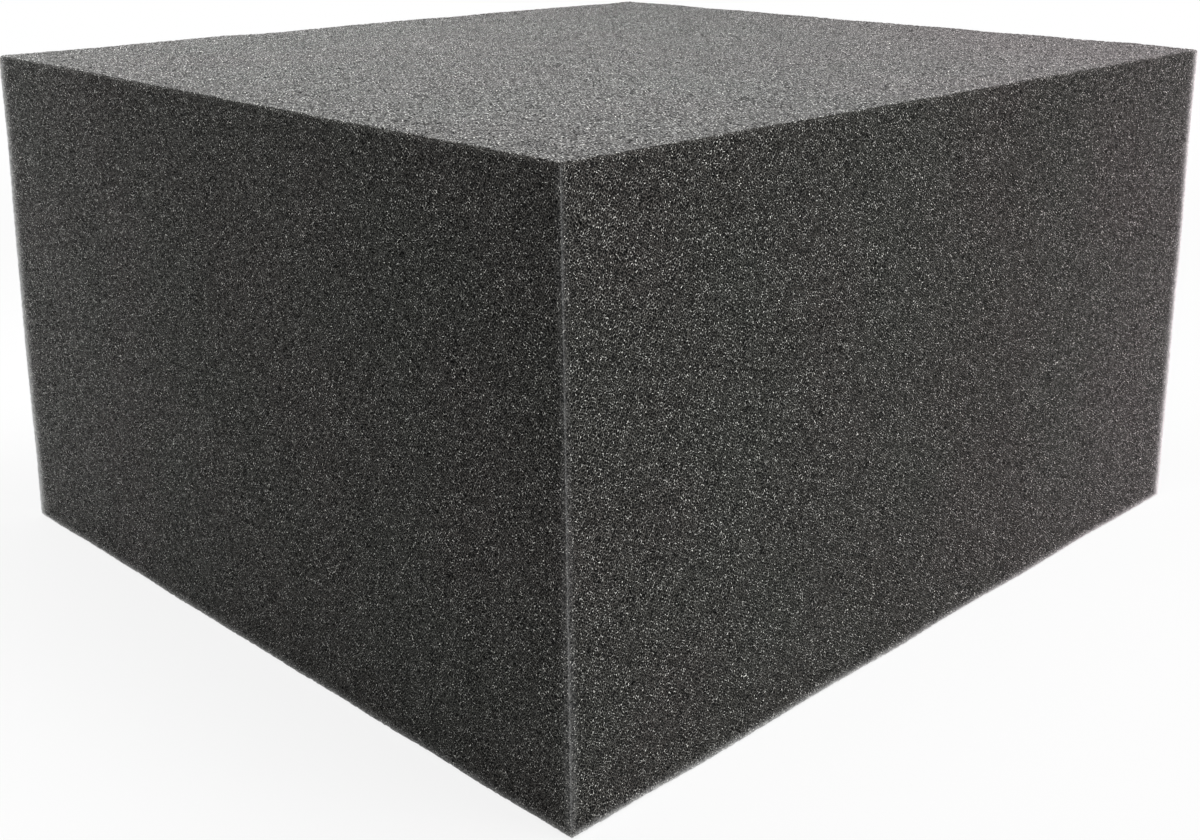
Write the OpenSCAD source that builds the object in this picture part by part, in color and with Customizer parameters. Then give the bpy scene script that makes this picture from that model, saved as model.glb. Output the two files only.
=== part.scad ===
// Foam block: one plain rectangular piece of charcoal open-cell foam, cut
// square on all six sides and soft along every cut edge.
// It stands on its base. Origin: centre of the base, +Z up, millimetres.

/* [Block] */
// Length, along X
block_length = 279.4; // [40:0.1:1000]
// Width, along Y
block_width = 254; // [40:0.1:1000]
// Height of the cut, along Z
block_height = 152.4; // [20:0.1:600]

/* [Cut edges] */
// Radius of the four upright edges and the corners' plan
upright_edge_radius = 1.4; // [0.8:0.1:8]
// Radius of the rims round the top and the base, rolled round the corners too
rim_radius = 1; // [0.3:0.1:6]

/* [Hidden] */
$fn = 64;
// Distance from the block's centre to the axis of an upright edge
edge_axis_x = block_length / 2 - upright_edge_radius;
edge_axis_y = block_width / 2 - upright_edge_radius;
// Least width of flat left on the end of an upright edge, inside its rolled rim
end_flat = 0.1;
// A rim that rolls round an upright edge stays a little sharper than that edge
rolled_radius = min(rim_radius, upright_edge_radius - end_flat);

// Section through the whole block: a rectangle with its four corners rounded
module soft_section(width) {
    square([width - 2 * rolled_radius, block_height], center = true);
    square([width, block_height - 2 * rolled_radius], center = true);
    for (side = [-1, 1], end = [-1, 1])
        translate([side * (width / 2 - rolled_radius), end * (block_height / 2 - rolled_radius)])
            circle(rolled_radius);
}

// The block's full width, as long as the space between the upright edges' axes
module lengthwise_slab() {
    rotate([90, 0, 90])
        linear_extrude(height = 2 * edge_axis_x, center = true)
            soft_section(block_width);
}

// The block's full length, as wide as the space between those axes
module crosswise_slab() {
    rotate([90, 0, 0])
        linear_extrude(height = 2 * edge_axis_y, center = true)
            soft_section(block_length);
}

// One upright edge: a round column whose ends roll into the rims
module upright_edge() {
    rotate_extrude()
        intersection() {
            soft_section(2 * upright_edge_radius);
            translate([0, -block_height / 2])
                square([upright_edge_radius, block_height]);
        }
}

module foam_block() {
    color("#42423f")
        translate([0, 0, block_height / 2]) {
            lengthwise_slab();
            crosswise_slab();
            for (side = [-1, 1], end = [-1, 1])
                translate([side * edge_axis_x, end * edge_axis_y, 0])
                    upright_edge();
        }
}

foam_block();
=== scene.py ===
"""Foam block: one cut piece of charcoal open-cell foam.

A plain closed core is covered by six cut sides. Each side is a thin closed slab whose outer face is a
fine grid of foam, with the ends of the cut struts in the knife's plane and open pits between them.
"""
import math

import bpy
import numpy as np
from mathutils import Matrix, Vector


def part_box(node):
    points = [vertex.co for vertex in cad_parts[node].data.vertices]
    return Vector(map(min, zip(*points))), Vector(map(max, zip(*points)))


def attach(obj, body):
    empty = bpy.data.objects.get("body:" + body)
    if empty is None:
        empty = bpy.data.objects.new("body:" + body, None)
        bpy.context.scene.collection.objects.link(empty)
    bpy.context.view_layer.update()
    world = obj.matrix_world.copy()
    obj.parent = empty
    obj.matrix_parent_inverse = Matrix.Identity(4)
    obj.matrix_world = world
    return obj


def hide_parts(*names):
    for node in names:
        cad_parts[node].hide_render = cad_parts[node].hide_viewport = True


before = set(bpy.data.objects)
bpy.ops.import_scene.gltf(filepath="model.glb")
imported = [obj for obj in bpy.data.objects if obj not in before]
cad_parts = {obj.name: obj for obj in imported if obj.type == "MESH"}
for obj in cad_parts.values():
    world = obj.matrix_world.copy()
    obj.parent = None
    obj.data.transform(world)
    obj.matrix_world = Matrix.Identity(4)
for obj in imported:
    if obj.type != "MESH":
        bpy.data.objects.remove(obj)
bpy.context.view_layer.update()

MM = 0.001
SEED = 11
WHITE = 1, 1, 1, 1

LOW, HIGH = (np.array(corner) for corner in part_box("foam_block"))
HALF = (HIGH - LOW) / 2
CENTRE = (HIGH + LOW) / 2

EDGE_RADIUS = 1.3 * MM                         # softness of a cut edge
TURNS = 3                                      # grid steps from a flat side to the middle of a soft edge
PITCH = np.array([0.95, 0.95, 0.57]) * MM      # spacing of the foam's grid along X, Y and Z
STRAY = 0.35                                   # how far a grid point strays, as a share of that spacing
PIT_DEPTH = 0.35 * MM                          # depth of the deepest pit under the knife's plane
STRUT_SHARE = 0.45                             # share of the grid's points that are struts' ends
STRUT_DEPTHS = 1, 6                            # beta spread of their depths from 0 to 1, most near 0
PIT_DEPTHS = 2, 2                              # beta spread of the open pits' depths, most near a half
WANDER = 0.1 * MM                              # how far the knife wanders out of its plane
WANDER_LENGTHS = 25 * MM, 70 * MM
WANDER_WAVES = 20
DRIFT = 0.3 * MM                               # how far the pattern of cells drifts along a side
DRIFT_LENGTHS = 6 * MM, 16 * MM
DRIFT_WAVES = 12
TOP_SHRINK = 0.8                               # the top's cells are larger by one over this
SLAB = 2.5 * MM                                # thickness of a cut side
CORE_GAP = 1.2 * MM                            # how far the core lies under the knife's plane
CORE_PLACES = 9                                # grid lines on a flat side of the core
SAME_PLACE = 1e-7                              # points as near as this, in metres, are one point
LEAN_TOP, LEAN_FOOT = 1.05 * MM, -0.45 * MM    # how far the near upright edge is out of true, along (-X, +Y)
LEAN_REACH = 80 * MM                           # how far along the sides that fades out
SIDE_SPACING = 1.5                             # keeps the patterns of two opposite sides apart, in metres
MAP_FACE, MAP_WALLS = 0.96, 0.98               # how much of a side's map its outer face and its walls reach
MAP_INNER, MAP_CORNER = 0.003, 0.005           # half the size of its inner face on the map, and its middle


# ---------------------------------------------------------------- shapes

def waves(points, lengths, count, seed):
    """Sum of plane waves sin(k.p + phase) with seeded directions; lengths gives the range of wavelengths."""
    rng = np.random.default_rng(seed)
    direction = rng.normal(size=(count, 3))
    direction /= np.linalg.norm(direction, axis=1, keepdims=True)
    length = rng.uniform(*lengths, count)
    phase = rng.uniform(0, 2 * math.pi, count)
    k = direction * (2 * math.pi / length)[:, None]
    return np.sin(points @ k.T + phase).sum(1) / math.sqrt(count / 2)


def grid_line(half, pitch):
    """Places along one axis of the box: even steps between the soft edges, and equal angles round each."""
    inner = half - EDGE_RADIUS
    steps = int(round(2 * inner / pitch))
    turn = EDGE_RADIUS * np.tan(np.linspace(0, math.pi / 4, TURNS + 1)[1:])
    return np.concatenate([-(inner + turn[::-1]), np.linspace(-inner, inner, steps + 1), inner + turn])


def room(line):
    """How far each place on the line is from its nearer neighbour, and 0 at both ends."""
    step = np.diff(line)
    return np.pad(np.minimum(step[:-1], step[1:]), 1)


def onto_block(points, half, radius):
    """Carries points on a sharp box to the same box with round edges: the nearest point of the core, plus
    radius along the way out. Returns the places and the outward normals."""
    core = np.clip(points, radius - half, half - radius)
    out = points - core
    normal = out / np.linalg.norm(out, axis=1, keepdims=True)
    return core + radius * normal, normal


def rim_distances(points, half):
    """How far each point of the sharp box is from the nearest upright edge and from the nearest base edge."""
    x, y = (half - np.abs(points))[:, :2].T
    z = points[:, 2] + half[2]
    return np.maximum(x, y), np.maximum(np.minimum(x, y), z)


def lean(points, half):
    """How far the cut is out of true round the near upright edge: a sideways push that goes evenly from the
    foot to the top of the block and fades as exp(-(distance / reach)^2) from that edge."""
    height = (points[:, 2] + half[2]) / (2 * half[2])
    away = np.hypot(points[:, 0] + half[0], points[:, 1] + half[1]) / LEAN_REACH
    push = (LEAN_FOOT + (LEAN_TOP - LEAN_FOOT) * height) * np.exp(-away**2) / math.sqrt(2)
    return push[:, None] * np.array([-1, 1, 0])


def sides():
    """The six sides as name, axis, sign, and the two axes along it, turned so that first x second points
    outwards."""
    names = iter(["right", "left", "back", "front", "top", "base"])
    for axis in range(3):
        first, second = (axis + 1) % 3, (axis + 2) % 3
        yield next(names), axis, 1, first, second
        yield next(names), axis, -1, second, first


def quads(index):
    """The quads of a grid of vertex numbers."""
    return np.stack([index[:-1, :-1], index[1:, :-1], index[1:, 1:], index[:-1, 1:]], -1).reshape(-1, 4)


def new_mesh(name, points, *face_groups):
    """A mesh object from points and groups of faces; the faces of one group have as many corners each."""
    mesh = bpy.data.meshes.new(name)
    mesh.vertices.add(len(points))
    mesh.vertices.foreach_set("co", points.astype(np.float32).ravel())
    corners = np.concatenate([group.ravel() for group in face_groups])
    sizes = np.concatenate([np.full(len(group), group.shape[1]) for group in face_groups])
    mesh.loops.add(len(corners))
    mesh.loops.foreach_set("vertex_index", corners.astype(np.int32))
    mesh.polygons.add(len(sizes))
    mesh.polygons.foreach_set("loop_start", (np.cumsum(sizes) - sizes).astype(np.int32))
    mesh.update(calc_edges=True)
    thing = bpy.data.objects.new(name, mesh)
    bpy.context.scene.collection.objects.link(thing)
    return thing


def bake_map(rows, columns, local, rim, walls):
    """Places on the map of a cut side, corner by corner: the outer face fills it, the walls fold out round
    it, and the inner face has a small corner to itself."""
    i, j = np.meshgrid(np.linspace(-1, 1, rows), np.linspace(-1, 1, columns), indexing="ij")
    flat = np.stack([i.ravel(), j.ravel()], 1)
    spread = np.concatenate([flat * MAP_FACE, flat[rim] * MAP_WALLS]) / 2 + 0.5
    corner = flat[rim] * MAP_INNER + MAP_CORNER
    return np.concatenate([spread[quads(local).ravel()], spread[walls.ravel()], corner[::-1]])


class Shell:
    """All vertices of the block's surface. Each is a triple of grid line numbers, moved a little along the
    side by chance, carried onto the soft-edged block, sunk by its own pit depth, and never under the base.
    Its pit depth from 0 to 1, its distances from the edges, its outward normal and its place on the flat
    side go along as attributes for the finish."""

    def __init__(self, half, pitch, seed):
        rng = np.random.default_rng(seed)
        self.half = half
        self.lines = [grid_line(h, p) for h, p in zip(half, pitch)]
        self.count = [len(line) for line in self.lines]
        keys = np.unique(np.concatenate([self.keys(*side[1:]).ravel() for side in sides()]))
        self.known = keys
        triple = np.stack(np.unravel_index(keys, self.count), 1)
        sharp = np.stack([self.lines[a][triple[:, a]] for a in range(3)], 1)
        free = np.stack([room(self.lines[a])[triple[:, a]] for a in range(3)], 1)
        self.sharp = sharp + STRAY * free * rng.uniform(-1, 1, sharp.shape)
        place, self.normal = onto_block(self.sharp, half, EDGE_RADIUS)
        strut_end = rng.random(len(place)) < STRUT_SHARE
        shallow, deep = rng.beta(*STRUT_DEPTHS, len(place)), rng.beta(*PIT_DEPTHS, len(place))
        self.pit = np.where(strut_end, shallow, deep)
        self.rim, self.foot = rim_distances(self.sharp, half)
        both_ways = [waves(place, DRIFT_LENGTHS, DRIFT_WAVES, seed + k) for k in (1, 2)]
        self.drift = DRIFT * np.stack(both_ways, 1)
        wander = WANDER * waves(place, WANDER_LENGTHS, WANDER_WAVES, seed)
        self.place = place + self.normal * (wander - PIT_DEPTH * self.pit)[:, None] + lean(place, half)
        self.place[:, 2] = np.maximum(self.place[:, 2], -half[2])

    def keys(self, axis, sign, first, second):
        """The vertices of one side as a grid of keys."""
        i, j = np.meshgrid(np.arange(self.count[first]), np.arange(self.count[second]), indexing="ij")
        triple = np.empty((3, *i.shape), int)
        triple[axis] = self.count[axis] - 1 if sign > 0 else 0
        triple[first], triple[second] = i, j
        return np.ravel_multi_index(triple, self.count)

    def slab(self, name, axis, sign, first, second):
        """One cut side: its grid, the mitred walls round it, and a flat inner face."""
        grid = np.searchsorted(self.known, self.keys(axis, sign, first, second))
        rows, columns = grid.shape
        local = np.arange(grid.size).reshape(grid.shape)
        rim = np.concatenate([local[:-1, 0], local[-1, :-1], local[:0:-1, -1], local[0, :0:-1]])
        outer = self.place[grid.ravel()]
        inner = self.sharp[grid.ravel()[rim]] * (1 - SLAB / self.half)
        ring = grid.size + np.arange(len(rim))
        walls = np.stack([rim, ring, np.roll(ring, -1), np.roll(rim, -1)], 1)
        back = ring[::-1][None]
        thing = new_mesh(name, np.concatenate([outer, inner]) + CENTRE, quads(local), walls, back)
        layer = thing.data.uv_layers.new(name="OFBake")
        layer.data.foreach_set("uv", bake_map(rows, columns, local, rim, walls).astype(np.float32).ravel())
        padding = np.zeros(len(rim))
        for key, value in (("pit", self.pit), ("rim", self.rim / MM), ("foot", self.foot / MM)):
            made = thing.data.attributes.new(key, "FLOAT", "POINT")
            made.data.foreach_set("value", np.concatenate([value[grid.ravel()], padding]).astype(np.float32))
        seen = np.concatenate([grid.ravel(), grid.ravel()[rim]])
        lay = np.stack([self.sharp[seen, first], self.sharp[seen, second], np.zeros(len(seen))], 1)
        lay[:, :2] = (lay[:, :2] + self.drift[seen]) * (TOP_SHRINK if name == "cut_top" else 1)
        lay += (axis + SIDE_SPACING * sign, 0, 0)
        for key, value in (("lie", self.normal[seen]), ("lay", lay)):
            made = thing.data.attributes.new(key, "FLOAT_VECTOR", "POINT")
            made.data.foreach_set("vector", value.astype(np.float32).ravel())
        return thing


def core(shell_half, radius):
    """The inner block under the cut sides: a closed box with a few steps round each edge."""
    half = shell_half - CORE_GAP
    lines = [np.concatenate([[-h], np.linspace(-h + radius, h - radius, CORE_PLACES), [h]]) for h in half]
    points, faces, start = [], [], 0
    for _, axis, sign, first, second in sides():
        s, t = np.meshgrid(lines[first], lines[second], indexing="ij")
        place = np.empty((s.size, 3))
        place[:, axis] = sign * half[axis]
        place[:, first], place[:, second] = s.ravel(), t.ravel()
        faces.append(quads(start + np.arange(s.size).reshape(s.shape)))
        points.append(place)
        start += s.size
    points, faces = np.concatenate(points), np.concatenate(faces)
    steps = np.round(points / SAME_PLACE)
    _, kept, again = np.unique(steps, axis=0, return_index=True, return_inverse=True)
    place, _ = onto_block(points[kept], half, radius)
    return new_mesh("foam_core", place + CENTRE, again.ravel()[faces])


# ---------------------------------------------------------------- the foam's finish

FACET = 0.29 * MM                              # size of a facet of a strut
CELL = 0.68 * MM                               # size of a cell
CELL_CHAOS = 0.8                               # 0 for an even net of cells, 1 for the least even
CELL_TURN = 0.6                                # turn of the net on each side, in radians
STRUT_EDGE, STRUT_FULL = 0.14, 0.07            # how near a cell's wall a strut begins and is whole
PIT_TONE = 0.008                               # grey of an open pit: the hollow of a real cell, its darkness painted shade
STRUT_TONE = 0.13                              # grey that a strut adds to it
PIT_SHADE = 0.2                                # painted shade: how much darker the deepest pits are
PAINTED_GLINT_TONE = 1.5                               # grey of the painted glints on the brightest facets, before PALEST
GLINT_RARITY = 10.0                            # the higher, the fewer facets get a painted glint
PALEST = 0.9                                   # the palest grey of all
FACET_TILT = 3.0                               # how far a facet faces away from its side
GLOSSY_SHARE = 0.04                            # share of the facets that are glossy
GLOSSY, MATT = 0.12, 0.8                       # their roughness, and the roughness of the rest
SPECULAR = 0.15

# seen at a low angle, the cut ends hide the pits; a painted sheen adds grey there, so the side looks paler
LOW_FROM, LOW_TO = 0.5, 0.85                   # turn away from the eye, from 0 to 1, at which that comes in
LOW_SHEEN_TONE = 0.13                                # grey that it adds
LOW_SHEEN_GLINT = 4.5                                # how many times over it adds the painted glints

# along the edges of the four sides, loose cut ends stand out as a pale fuzz of painted rim light, palest
# where the side turns away from the eye
FUZZ_WIDTH = 0.44                              # its width on an upright edge, in mm, facing the eye
FUZZ_SHAPE = 1.6                               # power of distance in its fading
FUZZ_ACROSS_POWER = 2.0                        # how fast it spreads as the side turns away from the eye
FUZZ_RIM_LIGHT = 0.25                               # grey that it adds, facing the eye
FUZZ_RIM_LIGHT_AWAY = 8.0                                # grey that it adds where the side turns away from the eye
FUZZ_AWAY_POWER = 5.0
FOOT_WIDTH = 1.45                              # its width along the base, in mm
FOOT_RIM_LIGHT = 0.7                                # grey that it adds there
FUZZ_CALM = 1.5                                # how soon it evens out the facets' tilts
FUZZ_LIFT = 0.8                                # how far it faces upwards

# the dye runs a little greener and a little redder from place to place, and warmer towards one edge
DYE_LENGTH = 45 * MM
DYE_FROM, DYE_TO = 0.35, 0.65                  # noise at which it is wholly the one and wholly the other
GREENER = 0.98, 1.0, 0.88, 1.0
REDDER = 1.06, 0.98, 0.90, 1.0
# tint of the painted glints
GLINT_TINT = 1.0, 1.0, 0.95
WARM_WAY = 1, -1, 0                            # which way it turns warmer
WARM_FROM, WARM_TO = 60 * MM, 240 * MM         # places along that way at which it begins and is whole
WARMEST = 1.06, 0.98, 1.01, 1.0


def node(tree, kind, inputs=(), **settings):
    """Adds a shader node, sets its properties, and fills inputs by name or number with values or sockets."""
    made = tree.nodes.new(kind)
    for key, value in settings.items():
        setattr(made, key, value)
    for key, value in dict(inputs).items():
        if isinstance(value, bpy.types.NodeSocket):
            tree.links.new(value, made.inputs[key])
        else:
            made.inputs[key].default_value = value
    return made


def maths(tree, operation, *values, clamp=False):
    """A maths node's result."""
    inputs = dict(enumerate(values))
    return node(tree, "ShaderNodeMath", inputs, operation=operation, use_clamp=clamp).outputs[0]


def product(tree, first, *others):
    """All the values multiplied."""
    for other in others:
        first = maths(tree, "MULTIPLY", first, other)
    return first


def vectors(tree, operation, *values):
    """A vector maths node's result."""
    return node(tree, "ShaderNodeVectorMath", dict(enumerate(values)), operation=operation).outputs[0]


def scaled(tree, vector, share):
    """The vector multiplied by a value."""
    return node(tree, "ShaderNodeVectorMath", {0: vector, 3: share}, operation="SCALE").outputs[0]


def blended(tree, share, first, second):
    """Two colours mixed by a share of the second."""
    inputs = {"Factor": share, "A": first, "B": second}
    return node(tree, "ShaderNodeMix", inputs, data_type="RGBA").outputs["Result"]


def attribute(tree, name, kind):
    """One of the cut sides' attributes, as Fac or Vector."""
    return node(tree, "ShaderNodeAttribute", attribute_name=name).outputs[kind]


def fading(tree, distance, reach):
    """exp(-(distance / reach)^FUZZ_SHAPE)"""
    share = maths(tree, "POWER", product(tree, distance, 1 / reach), FUZZ_SHAPE)
    return maths(tree, "EXPONENT", product(tree, share, -1.0))


def struts(tree):
    """A colour by chance for each facet, and a mask that is 1 on the struts and 0 in the open pits. Both come
    from cells laid out flat on each side."""
    lay = attribute(tree, "lay", "Vector")
    turned = {"Vector": lay, "Angle": CELL_TURN}
    lay = node(tree, "ShaderNodeVectorRotate", turned, rotation_type="Z_AXIS").outputs[0]
    facets = node(tree, "ShaderNodeTexVoronoi", {"Vector": lay, "Scale": 1 / FACET, "Randomness": 1.0},
                  voronoi_dimensions="2D", feature="F1").outputs["Color"]
    walls = node(tree, "ShaderNodeTexVoronoi", {"Vector": lay, "Scale": 1 / CELL, "Randomness": CELL_CHAOS},
                 voronoi_dimensions="2D", feature="DISTANCE_TO_EDGE").outputs["Distance"]
    strut = node(tree, "ShaderNodeMapRange", {"Value": walls, 1: STRUT_EDGE, 2: STRUT_FULL},
                 interpolation_type="SMOOTHSTEP").outputs[0]
    return facets, strut


def edge_fuzz_rim_light(tree, turned_away, lie):
    """Grey of painted rim light that the fuzz adds: on an upright edge it fades with the distance as it is
    seen from the eye, and it is palest where the side turns away; along the base it fades with the height.
    The top has none."""
    across = maths(tree, "POWER", maths(tree, "SUBTRACT", 1.0, turned_away), FUZZ_ACROSS_POWER)
    beside = fading(tree, product(tree, attribute(tree, "rim", "Fac"), across), FUZZ_WIDTH)
    away = maths(tree, "POWER", turned_away, FUZZ_AWAY_POWER)
    # painted rim light on the upright edges, palest where the side turns away
    painted_light = maths(tree, "MULTIPLY_ADD", away, FUZZ_RIM_LIGHT_AWAY, FUZZ_RIM_LIGHT)
    # painted light along the base
    foot = fading(tree, attribute(tree, "foot", "Fac"), FOOT_WIDTH)
    fuzz_rim_light = maths(tree, "MAXIMUM", product(tree, beside, painted_light), product(tree, foot, FOOT_RIM_LIGHT))
    upwards = node(tree, "ShaderNodeSeparateXYZ", {0: lie}).outputs["Z"]
    return product(tree, fuzz_rim_light, maths(tree, "SUBTRACT", 1.0, upwards, clamp=True))


def dye(tree):
    """The dye's colour, which drifts between the two tints with a slow noise."""
    place = node(tree, "ShaderNodeTexCoord").outputs["Object"]
    noise = node(tree, "ShaderNodeTexNoise", {"Vector": place, "Scale": 1 / DYE_LENGTH, "Detail": 1.0})
    share = node(tree, "ShaderNodeMapRange", {"Value": noise.outputs["Fac"], 1: DYE_FROM, 2: DYE_TO})
    return blended(tree, share.outputs[0], GREENER, REDDER)


def warmth(tree):
    """A tint of all the foam, which comes in evenly with x - y, towards the upright edge at (+X, -Y)."""
    place = node(tree, "ShaderNodeTexCoord").outputs["Object"]
    towards = node(tree, "ShaderNodeVectorMath", {0: place, 1: WARM_WAY}, operation="DOT_PRODUCT")
    share = node(tree, "ShaderNodeMapRange", {"Value": towards.outputs["Value"], 1: WARM_FROM, 2: WARM_TO})
    return blended(tree, share.outputs[0], WHITE, WARMEST)


def foam():
    """Cut foam: facets of chance tone on a net of struts, with dark pits between them; painted shade darkens
    the pits, painted glints light a few facets, and a painted sheen and painted rim light pale the low angles
    and the edges.
    """
    material = bpy.data.materials.new("cut_foam")
    material.use_nodes = True
    tree = material.node_tree
    shader = tree.nodes["Principled BSDF"]
    facets, strut = struts(tree)
    chance = node(tree, "ShaderNodeTexWhiteNoise", {"Vector": facets}, noise_dimensions="3D").outputs["Color"]
    chance = node(tree, "ShaderNodeSeparateColor", {0: chance}).outputs

    # the dark ground, with painted shade in its pits that is darkest in the deepest, and painted glints on a
    # few facets of its struts
    painted_pit_shade = maths(tree, "MULTIPLY_ADD", attribute(tree, "pit", "Fac"), -PIT_SHADE, 1.0)
    ground = product(tree, maths(tree, "MULTIPLY_ADD", strut, STRUT_TONE, PIT_TONE), painted_pit_shade)
    painted_glint = product(tree, maths(tree, "POWER", chance[0], GLINT_RARITY), PAINTED_GLINT_TONE, strut, painted_pit_shade)
    painted_glint = maths(tree, "MINIMUM", painted_glint, PALEST)
    whole = maths(tree, "MINIMUM", maths(tree, "ADD", ground, painted_glint), PALEST)

    # painted sheen at a low angle, and painted rim light along the edges
    lie = attribute(tree, "lie", "Vector")
    turned_away = node(tree, "ShaderNodeLayerWeight", {"Blend": 0.5, "Normal": lie}).outputs["Facing"]
    painted_sheen = node(tree, "ShaderNodeMapRange", {"Value": turned_away, 1: LOW_FROM, 2: LOW_TO},
               interpolation_type="SMOOTHSTEP").outputs[0]
    painted_light = product(tree, painted_sheen, maths(tree, "MULTIPLY_ADD", painted_glint, LOW_SHEEN_GLINT, LOW_SHEEN_TONE))
    fuzz_rim_light = edge_fuzz_rim_light(tree, turned_away, lie)
    painted_light = maths(tree, "MINIMUM", maths(tree, "ADD", painted_light, fuzz_rim_light), maths(tree, "SUBTRACT", PALEST, whole))

    colour = vectors(tree, "ADD", scaled(tree, dye(tree), ground), scaled(tree, GLINT_TINT, painted_glint))
    colour = vectors(tree, "MULTIPLY", vectors(tree, "ADD", colour, painted_light), warmth(tree))
    tree.links.new(colour, shader.inputs["Base Color"])

    glossy = product(tree, maths(tree, "GREATER_THAN", chance[1], 1 - GLOSSY_SHARE), strut)
    roughness = maths(tree, "MULTIPLY_ADD", glossy, GLOSSY - MATT, MATT)
    tree.links.new(roughness, shader.inputs["Roughness"])
    shader.inputs["Specular IOR Level"].default_value = SPECULAR

    # each facet faces its own way, less so in the fuzz of painted rim light, where it is turned to catch
    # light from above
    calm = maths(tree, "MINIMUM", product(tree, fuzz_rim_light, FUZZ_CALM), 1.0)
    tilt = maths(tree, "MULTIPLY_ADD", calm, -FACET_TILT, FACET_TILT)
    own = scaled(tree, vectors(tree, "SUBTRACT", facets, (0.5, 0.5, 0.5)), tilt)
    side = node(tree, "ShaderNodeNewGeometry").outputs["Normal"]
    side = vectors(tree, "ADD", side, scaled(tree, (0, 0, FUZZ_LIFT), calm))
    tree.links.new(vectors(tree, "NORMALIZE", vectors(tree, "ADD", own, side)), shader.inputs["Normal"])
    return material


# ---------------------------------------------------------------- the block

cut_foam = foam()

inside = core(HALF, EDGE_RADIUS)
inside.data.materials.append(cut_foam)
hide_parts("foam_block")
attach(inside, "root")

shell = Shell(HALF, PITCH, SEED)
for side in sides():
    slab = shell.slab("cut_" + side[0], *side[1:])
    slab.data.materials.append(cut_foam)
    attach(slab, "root")


# ---------------------------------------------------------------- studio

WORLD = 0.08                                   # strength of the light from all round
FLOOR_SIZE = 4.0                               # half of its width, in metres
FLOOR_TONE = 0.85
FLOOR_LIT = 0.15                               # share of the floor's look near the block that the lamps make
PLAIN_FROM, PLAIN_TO = 0.3, 0.9                # distance over which the floor goes over to plain white
LAMPS = {                                      # size, place, aim and watts
    "over_front": (1.0, (0.5, -0.5, 1.5), (0, 0, 0.1), 19.0),
    "over_near": (0.5, (-0.1, -0.1, 0.9), (-0.1, -0.1, 0.15), 1.6),
    "over_back": (0.3, (-0.1, 0.25, 0.5), (-0.1, 0.1, 0.15), 1.15),
    "front_side": (0.5, (0.2, -1.2, 0.6), (0, 0, 0.08), 4.5),
    "left_side": (0.3, (-0.35, 0.45, 0.12), (-0.1, 0.1, 0.05), 0.65),
}


def directly_seen(tree):
    """1 for rays from the camera and for rays that glossy or clear surfaces send on, else 0."""
    path = node(tree, "ShaderNodeLightPath").outputs
    direct = maths(tree, "MAXIMUM", path["Is Camera Ray"], path["Is Glossy Ray"])
    return maths(tree, "MAXIMUM", direct, path["Is Transmission Ray"])


def floor():
    """A pale floor: seen directly it glows almost to white and takes the rest from the lamps, so that the
    object's shadow stays, and far away it glows to white like the backdrop."""
    corners = np.array([(-1, -1, 0), (1, -1, 0), (1, 1, 0), (-1, 1, 0)]) * FLOOR_SIZE
    plane = new_mesh("floor", corners, np.array([(0, 1, 2, 3)]))
    material = bpy.data.materials.new("pale_floor")
    material.use_nodes = True
    tree = material.node_tree
    shader = tree.nodes["Principled BSDF"]
    place = node(tree, "ShaderNodeTexCoord").outputs["Object"]
    away = node(tree, "ShaderNodeVectorMath", {0: place}, operation="LENGTH").outputs["Value"]
    far = node(tree, "ShaderNodeMapRange", {"Value": away, 1: PLAIN_FROM, 2: PLAIN_TO},
               interpolation_type="SMOOTHSTEP").outputs[0]
    glow = product(tree, directly_seen(tree), maths(tree, "MULTIPLY_ADD", far, FLOOR_LIT, 1 - FLOOR_LIT))
    tone = product(tree, maths(tree, "SUBTRACT", 1.0, glow), FLOOR_TONE)
    tree.links.new(node(tree, "ShaderNodeCombineColor", {0: tone, 1: tone, 2: tone}).outputs[0],
                   shader.inputs["Base Color"])
    tree.links.new(glow, shader.inputs["Emission Strength"])
    shader.inputs["Emission Color"].default_value = WHITE
    shader.inputs["Roughness"].default_value = 1.0
    shader.inputs["Specular IOR Level"].default_value = 0.0
    plane.data.materials.append(material)


def surround():
    """A grey room that looks white where it is seen directly or in a glossy or clear surface."""
    world = bpy.data.worlds.new("studio")
    bpy.context.scene.world = world
    world.use_nodes = True
    tree = world.node_tree
    background = tree.nodes["Background"]
    background.inputs["Color"].default_value = WHITE
    strength = maths(tree, "MULTIPLY_ADD", directly_seen(tree), 1 - WORLD, WORLD)
    tree.links.new(strength, background.inputs["Strength"])


def lamp(name, size, place, aim, power):
    """A square soft lamp facing a point."""
    data = bpy.data.lights.new(name, "AREA")
    data.size = size
    data.energy = power
    thing = bpy.data.objects.new(name, data)
    thing.location = place
    thing.rotation_euler = (Vector(aim) - Vector(place)).to_track_quat("-Z", "Y").to_euler()
    bpy.context.scene.collection.objects.link(thing)


floor()
surround()
for name, settings in LAMPS.items():
    lamp(name, *settings)


# ---------------------------------------------------------------- camera

FOCAL = 47.17                                  # lens length in mm
FILM = 36                                      # width of its film in mm
SHIFT = 0.135                                  # how far the frame is lowered, as a share of its width
NEAREST = 0.01                                 # how near the camera sees, in metres
EYE = -0.3503, -0.3481, 0.2098
HEADING, PITCH_DOWN = math.radians(45.14), math.radians(14.1)

camera = bpy.data.objects.new("camera", bpy.data.cameras.new("camera"))
camera.data.lens = FOCAL
camera.data.sensor_width = FILM
camera.data.shift_y = -SHIFT
camera.data.clip_start = NEAREST
camera.location = EYE
level = math.cos(PITCH_DOWN)
look = Vector((math.cos(HEADING) * level, math.sin(HEADING) * level, -math.sin(PITCH_DOWN)))
camera.rotation_euler = look.to_track_quat("-Z", "Y").to_euler()
bpy.context.scene.collection.objects.link(camera)
bpy.context.scene.camera = camera
bpy.context.scene.view_settings.view_transform = "Standard"
